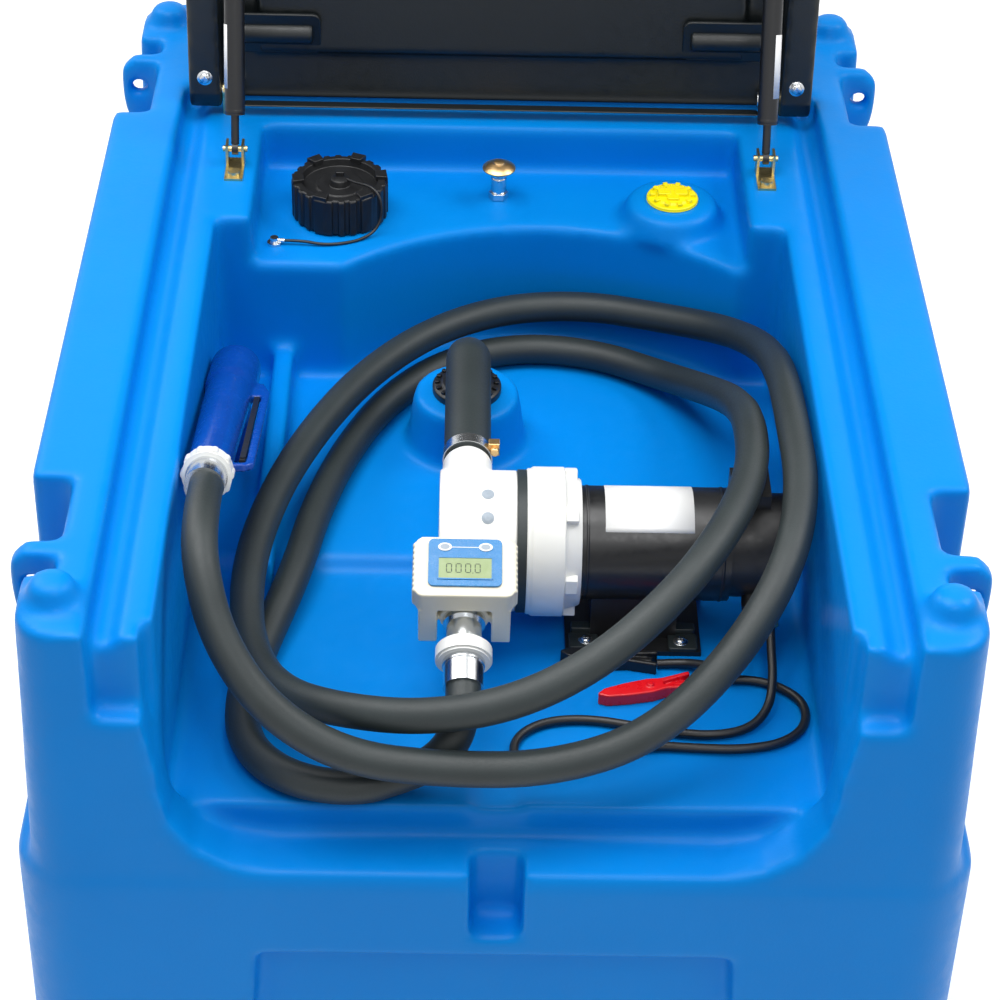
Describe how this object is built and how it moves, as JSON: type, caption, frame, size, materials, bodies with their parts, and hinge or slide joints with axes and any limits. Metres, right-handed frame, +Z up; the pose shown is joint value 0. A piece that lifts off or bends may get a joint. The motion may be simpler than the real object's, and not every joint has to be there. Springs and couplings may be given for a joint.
{
  "type": "portable diesel exhaust fluid tank with pump and meter",
  "caption": "Portable blue moulded tank for diesel exhaust fluid, with a hinged black lid on gas struts over a pump, meter, coiled hose and nozzle",
  "frame": {"origin": "middle of the base on the ground", "axes": "+X right across the tank seen from the front, +Y to the rear where the lid hinges, +Z up"},
  "size_m": [0.8, 1.08, 1.6253],
  "materials": {
    "blue_moulding": "roto-moulded polyethylene, satin",
    "black_moulding": "moulded black polyethylene, satin",
    "zinc_plate": "yellow zinc-plated steel",
    "black_paint": "black enamel on steel",
    "bright_steel": "bright plated steel",
    "black_neck": "moulded black polypropylene",
    "brass": "turned brass",
    "yellow_plastic": "moulded yellow polypropylene",
    "white_plastic": "moulded white polypropylene",
    "black_rubber": "matt black EPDM rubber",
    "meter_front": "printed blue film under a clear lens",
    "nozzle_plastic": "moulded deep blue polypropylene",
    "red_plastic": "moulded red PVC"
  },
  "bodies": {
    "tank": {"battery_cable": "black_rubber", "battery_cable_short": "black_rubber", "cable_gland_far": "brass", "cable_gland_near": "brass", "cap_leash": "black_rubber", "clip_black": "black_moulding", "clip_red": "red_plastic", "delivery_hose": "black_rubber", "filler_cap": "black_moulding", "filler_neck": "black_neck", "hinge_post_left": "zinc_plate", "hinge_post_right": "zinc_plate", "hose_clamp": "zinc_plate", "leash_screw": "zinc_plate", "level_plug": "yellow_plastic", "meter_body": "white_plastic", "meter_face": "meter_front", "meter_outlet": "bright_steel", "motor_body": "black_paint", "motor_cap": "black_moulding", "motor_foot": "black_moulding", "nozzle_body": "nozzle_plastic", "nozzle_ferrule": "bright_steel", "nozzle_lever": "black_moulding", "nozzle_nut": "white_plastic", "nozzle_spout": "nozzle_plastic", "outlet_ferrule": "bright_steel", "outlet_nut": "white_plastic", "pump_flange": "white_plastic", "pump_gasket": "black_rubber", "pump_head": "white_plastic", "strut_foot_left": "zinc_plate", "strut_foot_right": "zinc_plate", "suction_fitting": "black_moulding", "suction_hose": "black_rubber", "tank_base": "blue_moulding", "tank_deck": "blue_moulding", "tank_rail_left": "blue_moulding", "tank_rail_right": "blue_moulding", "tank_shell": "blue_moulding", "tank_top": "blue_moulding", "vent_cap": "brass", "vent_stem": "bright_steel"},
    "lid_body": {"lid": "black_moulding", "lid_hanger_left": "zinc_plate", "lid_hanger_right": "zinc_plate", "hinge_bolt_left": "zinc_plate", "hinge_bolt_right": "zinc_plate"},
    "strut_tube_left_body": {"strut_tube_left": "black_paint"},
    "strut_rod_left_body": {"strut_rod_left": "bright_steel"},
    "strut_tube_right_body": {"strut_tube_right": "black_paint"},
    "strut_rod_right_body": {"strut_rod_right": "bright_steel"}
  },
  "joints": [
    {"name": "lid_hinge", "type": "hinge", "parent": "tank", "child": "lid_body", "pos_m": [0, 0.328, 0.745], "axis": [1, 0, 0], "range_deg": [0, 97]},
    {"name": "strut_tilt_left", "type": "hinge", "parent": "tank", "child": "strut_tube_left_body", "pos_m": [-0.262, 0.221, 0.738], "axis": [1, 0, 0], "range_deg": [0, 111.01]},
    {"name": "strut_stroke_left", "type": "slide", "parent": "strut_tube_left_body", "child": "strut_rod_left_body", "axis": [0, 0.3553, 0.9347], "range_m": [-0.1393, 0]},
    {"name": "strut_tilt_right", "type": "hinge", "parent": "tank", "child": "strut_tube_right_body", "pos_m": [0.262, 0.221, 0.738], "axis": [1, 0, 0], "range_deg": [0, 111.01]},
    {"name": "strut_stroke_right", "type": "slide", "parent": "strut_tube_right_body", "child": "strut_rod_right_body", "axis": [0, 0.3553, 0.9347], "range_m": [-0.1393, 0]}
  ],
  "couplings": [
    {"joint": "strut_tilt_left", "follows": "lid_hinge", "ratio": 1.1424},
    {"joint": "strut_stroke_left", "follows": "lid_hinge", "m_per_rad": -0.082046},
    {"joint": "strut_tilt_right", "follows": "lid_hinge", "ratio": 1.1424},
    {"joint": "strut_stroke_right", "follows": "lid_hinge", "m_per_rad": -0.082046}
  ]
}
